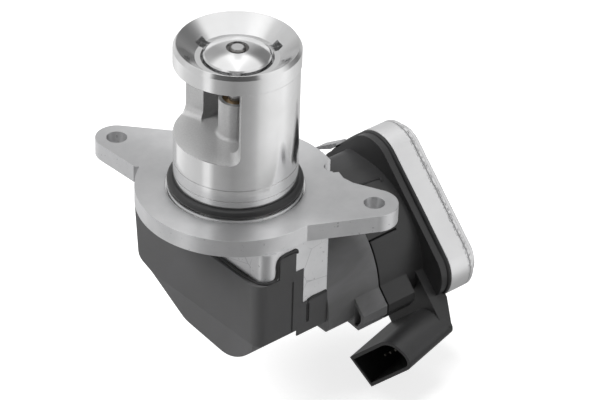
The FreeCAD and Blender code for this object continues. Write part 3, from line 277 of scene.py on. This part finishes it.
def turned_steel(name, light, rough, milled=False, stake_ring_shade=False):
    """Steel turned on a lathe: fine rings round the valve's axis and a little tarnish.

    Milled gives a duller cut inside the tube's skin, with a darker tone there that is painted
    shade.
    The staked end of the stem gets painted shade as a dark ring in its recess.
    """
    look = Material(name, rough, 1.0, 0.2)
    look.lathe(0.75)
    rings = look.round_place()
    radius, _, height = look.axes(rings)
    fine = look.noise(5000.0, 2.0, 0.6, rings)
    cloud = look.noise(70.0, 3.0, 0.6)
    dark, pale = (light * 0.93,) * 3, (light, light, light * 1.005)
    tone = look.colour(look.rise(cloud, 0.35, 0.65), dark, pale)
    shine = look.span(fine, rough - 0.03, rough + 0.04)
    if milled:
        inside = look.math("MULTIPLY", look.math("LESS_THAN", radius, TUBE_SKIN),
                           look.math("GREATER_THAN", height, WINDOW_ZONE))
        cut = look.noise(1800.0, 3.0, 0.6)
        # Inside the tube's skin: a duller cut, and a darker tone that is painted shade inside the
        # tube.
        dull_shaded_cut = look.mix(look.rise(cut, 0.3, 0.7), (light * 0.7,) * 3 + (1,),
                        (light * 0.8,) * 3 + (1,))
        look.set("Metallic", look.span(inside, 1.0, 0.6))
        look.set("Base Color", look.mix(inside, tone, dull_shaded_cut))
        shine = look.blend(inside, shine, look.span(cut, 0.3, 0.42))
    # Painted shade: a dark ring in the recess round the stem's staked end.
    if stake_ring_shade:
        at_end = look.math("GREATER_THAN", height, STEM_END)
        ring = look.math("SUBTRACT", look.rise(radius, *STEM_HOLLOW),
                         look.rise(radius, *STAKED_RIM))
        painted_ring_shade = look.math("MULTIPLY", at_end, ring)
        look.set("Base Color", look.mix(painted_ring_shade, tone, RING_SHADE_TONE))
    look.set("Roughness", shine)
    look.bump(fine, 0.12, 0.006)
    return look.data


def cast_alloy(name, light):
    """Die-cast aluminium: grained skin with specks on the sides, turned rings on level faces.

    Fine flow cracks run over the skin under the flange.
    """
    look = Material(name, 0.42, 1.0, 0.3)
    look.lathe(0.92)
    normal = look.node("ShaderNodeNewGeometry").outputs["Normal"]
    upright = look.math("ABSOLUTE", look.axes(normal)[2])
    level = look.rise(upright, 0.9, 0.97)
    skin_only = look.math("SUBTRACT", 1.0, level)
    skin = look.noise(1500.0, 4.0, 0.65)
    blotch = look.noise(120.0, 3.0, 0.6)
    arcs = look.noise(3500.0, 2.0, 0.5, look.round_place())
    tone = look.colour(look.rise(blotch, 0.3, 0.7),
                       (light * 0.9, light * 0.905, light * 0.915), (light, light, light * 1.01))
    low_down = look.fall(look.axes()[2], *UNDER_FLANGE)
    flow = look.cells(85.0, feature="DISTANCE_TO_EDGE")
    crack = look.math("MULTIPLY", look.fall(flow, 0.0, 0.012), low_down)
    specks = look.rise(look.noise(900.0, 2.0, 0.5), 0.68, 0.74)
    marks = look.math("MULTIPLY", look.math("MAXIMUM", crack, specks), skin_only)
    look.set("Base Color", look.mix(look.math("MULTIPLY", marks, MARK_SHARE), tone, MARK_TONE))
    look.set("Roughness", look.blend(level, look.span(skin, 0.4, 0.58),
                                     look.span(arcs, 0.31, 0.37)))
    look.bump(look.blend(level, skin, look.span(arcs, 0.47, 0.49)), 0.3, 0.05)
    look.bump(look.math("MULTIPLY", blotch, skin_only), 0.1, 0.25)
    return look.data


def drawn_alloy(name, light):
    """Drawn aluminium: satin skin, faint draw lines, and a speckled crimp line at its back,
    darkened as painted shade in its groove.
    """
    look = Material(name, 0.46, 1.0, 0.5)
    off_line = look.math("ABSOLUTE", look.math("SUBTRACT", look.axes()[0], CRIMP_LINE))
    line = look.fall(off_line, 0.08 * MM, 0.3 * MM)
    beside = look.fall(off_line, 0.5 * MM, 0.9 * MM)
    breaks = look.math("MULTIPLY", beside,
                       look.rise(look.noise(900.0, 3.0, 0.7), 0.5, 0.58))
    grain = look.noise(2600.0, 3.0, 0.6)
    draw = look.noise(700.0, 2.0, 0.5, look.scaled(0.12, 1.0, 1.0))
    cloud = look.noise(60.0, 3.0, 0.55)
    tone = look.colour(look.rise(cloud, 0.3, 0.7),
                       (light * 0.93, light * 0.93, light * 0.935), (light, light, light * 1.005))
    # The crimp line's darker tone is painted shade in its groove.
    look.set("Base Color", look.mix(look.math("MULTIPLY", line, CRIMP_SHADE_SHARE), tone, CRIMP_SHADE_TONE))
    look.roughness(draw, 0.4, 0.55)
    look.bump(look.math("SUBTRACT", breaks, line), 0.7, 0.4)
    look.bump(grain, 0.22, 0.03)
    look.bump(draw, 0.1, 0.05)
    return look.data


def moulded(name, dark, light, rough):
    """Glass-filled moulding: fine spark grain and faint flow marks."""
    look = Material(name, rough, 0.0, 0.4, IOR=1.5)
    grain = look.noise(3200.0, 3.0, 0.7)
    flow = look.noise(55.0, 4.0, 0.6, look.scaled(0.5, 1.0, 1.0), 0.8)
    look.colour(look.rise(flow, 0.3, 0.7), (dark,) * 3, (light, light, light * 1.03))
    look.roughness(look.math("ADD", look.math("MULTIPLY", grain, 0.4),
                             look.math("MULTIPLY", flow, 0.6)), rough - 0.08, rough + 0.1)
    look.bump(grain, 0.3, 0.03)
    look.bump(flow, 0.12, 0.25)
    return look.data


def rubber(name):
    look = Material(name, 0.42, 0.0, 0.0, IOR=1.5)
    fine = look.noise(2200.0, 3.0, 0.6)
    cloud = look.noise(140.0, 2.0, 0.5)
    look.colour(cloud, (0.012, 0.012, 0.012), (0.028, 0.028, 0.029))
    look.roughness(cloud, 0.3, 0.5)
    look.bump(fine, 0.2, 0.02)
    return look.data


def sintered(name, dark, light, rough, metal=1.0):
    """Pressed and sintered metal: open pores and a soft mottled tone."""
    look = Material(name, rough, metal, 0.12)
    pores = look.cells(4500.0)
    cloud = look.noise(400.0, 4.0, 0.65)
    look.colour(look.rise(cloud, 0.3, 0.7), dark, light)
    look.roughness(cloud, rough - 0.08, rough + 0.12)
    look.bump(look.rise(pores, 0.0, 0.35), 0.4, 0.03)
    return look.data


def plated(name, dark, light, rough, stretch=(1.0, 1.0, 1.0)):
    """Plated or drawn steel: fine scratches one way and a spangled tone."""
    look = Material(name, rough, 1.0, 0.12)
    scratch = look.noise(2500.0, 3.0, 0.6, look.scaled(*stretch))
    cloud = look.noise(260.0, 3.0, 0.6)
    look.colour(look.rise(cloud, 0.3, 0.7), dark, light)
    look.roughness(scratch, rough - 0.1, rough + 0.12)
    look.bump(scratch, 0.2, 0.015)
    return look.data


def acetal(name):
    look = Material(name, 0.32, 0.0, 0.12, IOR=1.48, Subsurface_Weight=0.15,
                    Subsurface_Scale=0.0008)
    cloud = look.noise(180.0, 3.0, 0.55)
    fine = look.noise(2600.0, 2.0, 0.5)
    look.colour(cloud, (0.72, 0.68, 0.57), (0.85, 0.82, 0.73))
    look.roughness(cloud, 0.26, 0.4)
    look.bump(fine, 0.12, 0.02)
    return look.data


def board_green(name):
    look = Material(name, 0.3, 0.0, 0.0, IOR=1.5)
    tracks = look.cells(700.0, look.scaled(1.0, 1.0, 0.4))
    weave = look.noise(1800.0, 2.0, 0.5)
    look.colour(look.rise(tracks, 0.25, 0.4), (0.03, 0.17, 0.08), (0.05, 0.26, 0.12))
    look.roughness(weave, 0.22, 0.4)
    look.bump(tracks, 0.2, 0.03)
    return look.data


SLOT_LOOKS = {
    "machined_steel": turned_steel("turned steel", 0.8, 0.14),
    "cast_aluminium": cast_alloy("cast aluminium", 0.83),
    "cap_aluminium": drawn_alloy("drawn aluminium", 0.9),
    "cover_plastic": moulded("grey moulding", 0.082, 0.094, 0.42),
    "black_plastic": moulded("black moulding", 0.024, 0.032, 0.4),
    "black_rubber": rubber("rubber"),
    "bronze": sintered("sintered bronze", (0.45, 0.3, 0.17), (0.66, 0.48, 0.28), 0.36),
    "spring_steel": plated("spring wire", (0.3, 0.3, 0.32), (0.44, 0.44, 0.46), 0.28),
    "gear_plastic": acetal("acetal"),
    "magnet": sintered("ferrite", (0.05, 0.05, 0.055), (0.13, 0.13, 0.14), 0.5, 0.4),
    "board": board_green("circuit board"),
    "zinc_steel": plated("zinc plate", (0.5, 0.51, 0.54), (0.66, 0.67, 0.69), 0.3,
                         (0.15, 1.0, 1.0)),
    "copper_tin": plated("tinned contact", (0.6, 0.57, 0.5), (0.74, 0.71, 0.62), 0.22,
                         (0.1, 1.0, 1.0)),
    "carbon": sintered("pressed carbon", (0.02, 0.02, 0.02), (0.05, 0.05, 0.05), 0.6, 0.0),
}


NODE_LOOKS = {
    "cap_clip": plated("clip", (0.3, 0.3, 0.31), (0.52, 0.52, 0.53), 0.25),
    # The pins' darker tone is painted shade deep in the socket.
    "connector_pins": plated("contact darkened as painted shade", (0.2, 0.19, 0.17), (0.3, 0.29, 0.26), 0.42),
    # Painted light: the motor housing's tone is lifted well above the black moulding's for the
    # light falling on it, and its flow blotches are real faint flow marks made stronger as
    # painted reflection.
    "motor_housing": moulded("motor housing moulding, painted lighter", 0.13, 0.22, 0.36),
    "valve_tube": turned_steel("windowed tube", 0.8, 0.13, milled=True),
    "valve_head": turned_steel("valve head", 0.72, 0.14, stake_ring_shade=True),
    "valve_stem": turned_steel("valve stem", 0.72, 0.2, stake_ring_shade=True),
}


def dress_nodes():
    """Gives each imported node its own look, or that of its material slot."""
    slots = {row["node"]: row["material_slot"] for row in frame["record"]["subparts"]}
    for name, node in frame["nodes"].items():
        node.data.materials.clear()
        node.data.materials.append(NODE_LOOKS.get(name) or SLOT_LOOKS[slots[name]])


def dressed(piece, slot, body="housing"):
    """Puts a new piece into the scene with its slot, the slot's look and its body."""
    bpy.context.scene.collection.objects.link(piece)
    piece.data.materials.append(SLOT_LOOKS[slot])
    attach(piece, body)
    return piece


def lathe_piece(name, profile, slot):
    """A ring turned about the valve's axis from a closed profile of radius and height."""
    mesh = bpy.data.meshes.new(name)
    count = len(profile)
    corners, faces = [], []
    for turn in range(LATHE_STEPS):
        angle = 2 * math.pi * turn / LATHE_STEPS
        corners += [(radius * MM * math.cos(angle), radius * MM * math.sin(angle), height * MM)
                    for radius, height in profile]
        following = (turn + 1) % LATHE_STEPS
        faces += [(turn * count + row, following * count + row,
                   following * count + (row + 1) % count, turn * count + (row + 1) % count)
                  for row in range(count)]
    mesh.from_pydata(corners, [], faces)
    mesh.polygons.foreach_set("use_smooth", [True] * len(faces))
    dressed(bpy.data.objects.new(name, mesh), slot)


def bead(name, points, radius, closed=False):
    """A soft, dark round bead that follows the points, in millimetres: painted shade laid along a
    gap.
    """
    curve = bpy.data.curves.new(name, "CURVE")
    curve.dimensions = "3D"
    curve.bevel_depth = radius * MM
    curve.bevel_resolution = BEAD_SIDES
    curve.resolution_u = BEAD_STEPS
    curve.use_fill_caps = True
    spline = curve.splines.new("BEZIER")
    spline.bezier_points.add(len(points) - 1)
    spline.use_cyclic_u = closed
    for knot, point in zip(spline.bezier_points, points):
        knot.co = Vector(point) * MM
        knot.handle_left_type = knot.handle_right_type = "AUTO"
    dressed(bpy.data.objects.new(name, curve), "black_rubber")


def across(x, v, u):
    """A point of the motor housing's turned frame: v across it and u along the connector."""
    half = math.sqrt(0.5)
    return (x, -(v + u) * half, (v - u) * half)


def rounded_loop(x, low_v, high_v, low_u, high_u, corner):
    """Points round a rectangle with rounded corners, in the turned frame."""
    loop = []
    for centre_v, centre_u, start in ((high_v - corner, high_u - corner, 0),
                                      (low_v + corner, high_u - corner, 90),
                                      (low_v + corner, low_u + corner, 180),
                                      (high_v - corner, low_u + corner, 270)):
        for step in range(CORNER_STEPS + 1):
            angle = math.radians(start + 90 * step / CORNER_STEPS)
            loop.append(across(x, centre_v + corner * math.cos(angle),
                               centre_u + corner * math.sin(angle)))
    return loop


def shadow_gap_beads():
    """Dark beads laid as painted shade in the joints of the mouldings, casting and cap, in a
    slot, and as one rib's shadow.
    """
    # Painted shade: each bead is a dark strip laid along a gap or slot that holds only shade.
    bead("tab_gap_shade_bead", [(-14.9, 27.0, -16.35), (-14.9, 10.0, -16.35), (-14.9, -10.0, -16.35),
                         (-14.9, -26.5, -16.35), (-14.0, -29.9, -16.3), (-11.8, -31.6, -16.1),
                         (-9.6, -31.7, -15.7), (-8.8, -31.7, -14.2), (-8.7, -31.7, -10.2),
                         (-8.0, -31.7, -8.6), (-6.2, -31.7, -7.9), (-3.0, -31.7, -7.85),
                         (-1.2, -31.7, -8.0), (-0.7, -31.7, -9.0)], 0.55)
    bead("slot_shade_bead", [(4.1, -31.7, -37.6), (4.1, -31.7, -32.0), (4.3, -31.7, -30.2),
                       (5.6, -31.7, -29.5), (8.6, -31.7, -29.45), (12.0, -31.7, -29.45)], 0.45)
    bead("cap_gap_shade_bead", rounded_loop(56.5, -33.2, 5.2, 2.0, 60.5, 10.2), 0.75, closed=True)
    bead("rib_shadow", [(43.0, -12.2, -12.0), (46.0, -12.35, -12.1), (48.8, -12.6, -12.2),
                        (50.9, -13.2, -12.4), (50.7, -14.1, -12.75)], 0.4)


def flange_lip():
    """The low lip that holds the ring at the tube's foot."""
    lathe_piece("flange_lip", [(20.6, -0.05), (20.9, 0.3), (21.3, 0.45), (21.65, 0.5),
                               (21.82, 0.42), (21.86, -0.05)], "cast_aluminium")


def coil_spring():
    """The valve's return spring, as a fixed coil in place of the imported one."""
    radius, wire, turns, per_turn, sides = 8.0, 0.8, 5, 56, 14
    foot, head, upper_seat, lower_seat, lift = -5.15, 15.05, 15.9, -6.0, 5.0
    rings = turns * per_turn
    corners, faces = [], []
    for ring in range(rings + 1):
        angle = 2 * math.pi * ring / per_turn
        centre = Vector((radius * math.cos(angle), radius * math.sin(angle),
                         foot + (head - foot) * ring / rings))
        outward = Vector((math.cos(angle), math.sin(angle), 0))
        ahead = Vector((-radius * math.sin(angle), radius * math.cos(angle),
                        (head - foot) / (2 * math.pi * turns))).normalized()
        across_wire = ahead.cross(outward)
        for side in range(sides):
            bend = 2 * math.pi * side / sides
            corners.append((centre + (outward * math.cos(bend)
                                      + across_wire * math.sin(bend)) * wire) * MM)
    for ring in range(rings):
        for side in range(sides):
            low, high = ring * sides, (ring + 1) * sides
            beside = (side + 1) % sides
            faces.append((low + side, low + beside, high + beside, high + side))
    faces.append(tuple(range(sides))[::-1])
    faces.append(tuple(rings * sides + side for side in range(sides)))
    mesh = bpy.data.meshes.new("coil_spring")
    mesh.from_pydata(corners, [], faces)
    mesh.polygons.foreach_set("use_smooth", [len(face) == 4 for face in faces])
    piece = dressed(bpy.data.objects.new("coil_spring", mesh), "spring_steel")
    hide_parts("return_spring")
    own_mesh(piece)


def studio_world():
    """A light tent: white to the camera, with brighter and darker panels for the metal."""
    world = bpy.data.worlds.new("light tent")
    world.use_nodes = True
    bpy.context.scene.world = world
    tree = world.node_tree
    tree.nodes.clear()

    def node(kind, **settings):
        made = tree.nodes.new(kind)
        for name, setting in settings.items():
            setattr(made, name, setting)
        return made

    def sums(operation, first, second=0.0):
        made = node("ShaderNodeMath", operation=operation)
        for socket, source in zip(made.inputs, (first, second)):
            if isinstance(source, bpy.types.NodeSocket):
                tree.links.new(source, socket)
            else:
                socket.default_value = source
        return made.outputs[0]

    def times(first, second):
        return sums("MULTIPLY", first, second)

    def rest_of(share):
        return sums("SUBTRACT", 1.0, share)

    def band(stops):
        """A value by azimuth, from stops in degrees."""
        made = node("ShaderNodeValToRGB")
        tree.links.new(turn, made.inputs["Fac"])
        ramp = made.color_ramp
        while len(ramp.elements) < len(stops):
            ramp.elements.new(0.5)
        for element, (place, shade) in zip(ramp.elements, stops):
            element.position = place / 360
            element.color = (shade, shade, shade, 1)
        return made.outputs["Color"]

    def step(source, low, high):
        """A soft step from nothing to one between two elevations in degrees."""
        made = node("ShaderNodeMapRange", interpolation_type="SMOOTHSTEP")
        tree.links.new(source, made.inputs["Value"])
        made.inputs["From Min"].default_value = math.sin(math.radians(low))
        made.inputs["From Max"].default_value = math.sin(math.radians(high))
        return made.outputs["Result"]

    parts = node("ShaderNodeSeparateXYZ")
    tree.links.new(node("ShaderNodeTexCoord").outputs["Generated"], parts.inputs[0])
    angle = sums("ARCTAN2", parts.outputs[1], parts.outputs[0])
    turn = sums("FRACT", sums("ADD", sums("DIVIDE", angle, 2 * math.pi), 1.0))
    height = parts.outputs[2]
    far = times(step(height, *FAR_FOOT), rest_of(step(height, *FAR_TOP)))
    far_side = times(band(AROUND), rest_of(times(far, band(FAR_SHADE))))
    side = times(far_side, rest_of(times(step(height, *NEAR_FOOT), band(NEAR_SHADE))))
    over = step(sums("ADD", height, band(ROOF_DROP)), *ROOF_EDGE)
    wall_and_roof = sums("ADD", times(side, rest_of(over)), times(over, band(ROOF)))
    seam = times(band(SEAM), times(step(height, *SEAM_FOOT), rest_of(step(height, *SEAM_TOP))))
    path = node("ShaderNodeLightPath")
    soft = rest_of(times(path.outputs["Is Diffuse Ray"], DIFFUSE_CUT))
    tent = node("ShaderNodeBackground")
    tree.links.new(times(times(wall_and_roof, rest_of(seam)), soft), tent.inputs["Strength"])
    choose = node("ShaderNodeMixShader")
    tree.links.new(path.outputs["Is Camera Ray"], choose.inputs[0])
    tree.links.new(tent.outputs[0], choose.inputs[1])
    tree.links.new(node("ShaderNodeBackground").outputs[0], choose.inputs[2])
    tree.links.new(choose.outputs[0], node("ShaderNodeOutputWorld").inputs[0])


def bare_material(name):
    """A material with no shader yet, and what makes and joins its nodes."""
    material = bpy.data.materials.new(name)
    material.use_nodes = True
    tree = material.node_tree
    tree.nodes.clear()
    return material, tree.nodes.new, tree.links.new


def floor():
    """The pale floor: plain white to the camera, apart from the object's own soft shadow."""
    low = cad_box[0][2]
    mesh = bpy.data.meshes.new("floor")
    mesh.from_pydata([(x * FLOOR_REACH, y * FLOOR_REACH, low)
                      for x, y in ((-1, -1), (1, -1), (1, 1), (-1, 1))], [], [(0, 1, 2, 3)])
    sheet = bpy.data.objects.new("floor", mesh)
    bpy.context.scene.collection.objects.link(sheet)
    material, node, join = bare_material("white floor")
    diffuse = node("ShaderNodeBsdfDiffuse")
    diffuse.inputs["Color"].default_value = (FLOOR_TONE, FLOOR_TONE, FLOOR_TONE, 1)
    glow = node("ShaderNodeEmission")
    seen = node("ShaderNodeMath")
    seen.operation = "MULTIPLY"
    seen.inputs[1].default_value = FLOOR_GLOW
    join(node("ShaderNodeLightPath").outputs["Is Camera Ray"], seen.inputs[0])
    join(seen.outputs[0], glow.inputs["Strength"])
    both = node("ShaderNodeAddShader")
    join(diffuse.outputs[0], both.inputs[0])
    join(glow.outputs[0], both.inputs[1])
    join(both.outputs[0], node("ShaderNodeOutputMaterial").inputs["Surface"])
    mesh.materials.append(material)
    sheet.visible_glossy = False


def reflected_shade_card():
    """A glowing grey disc under the object, which only the gloss of the pieces above it shows:
    painted shade in what they reflect below them.
    """
    bpy.ops.mesh.primitive_circle_add(vertices=CARD_CORNERS, radius=CARD_RADIUS,
                                      fill_type="NGON", location=CARD_PLACE)
    card = bpy.context.object
    card.name = "card"
    material, node, join = bare_material("reflected shade card")
    glow = node("ShaderNodeEmission")
    glow.inputs["Strength"].default_value = CARD_GLOW
    join(glow.outputs[0], node("ShaderNodeOutputMaterial").inputs["Surface"])
    card.data.materials.append(material)
    card.visible_camera = False
    card.visible_diffuse = False
    card.visible_shadow = False
    card.visible_transmission = False


def lamp(name, place, power):
    """A soft round lamp that is aimed at the object's origin and shows in no gloss."""
    light = bpy.data.lights.new(name, "AREA")
    light.shape = "DISK"
    light.size = LAMP_SIZE
    light.energy = power
    holder = bpy.data.objects.new(name, light)
    holder.location = place
    aim = Vector((0, 0, 0)) - Vector(place)
    holder.rotation_euler = aim.to_track_quat("-Z", "Y").to_euler()
    holder.visible_glossy = False
    bpy.context.scene.collection.objects.link(holder)


camera()
studio_world()
floor()
reflected_shade_card()
for title, place, power in LAMPS:
    lamp(title, place, power)
dress_nodes()
shadow_gap_beads()
flange_lip()
coil_spring()

bpy.context.scene.view_settings.view_transform = "Standard"
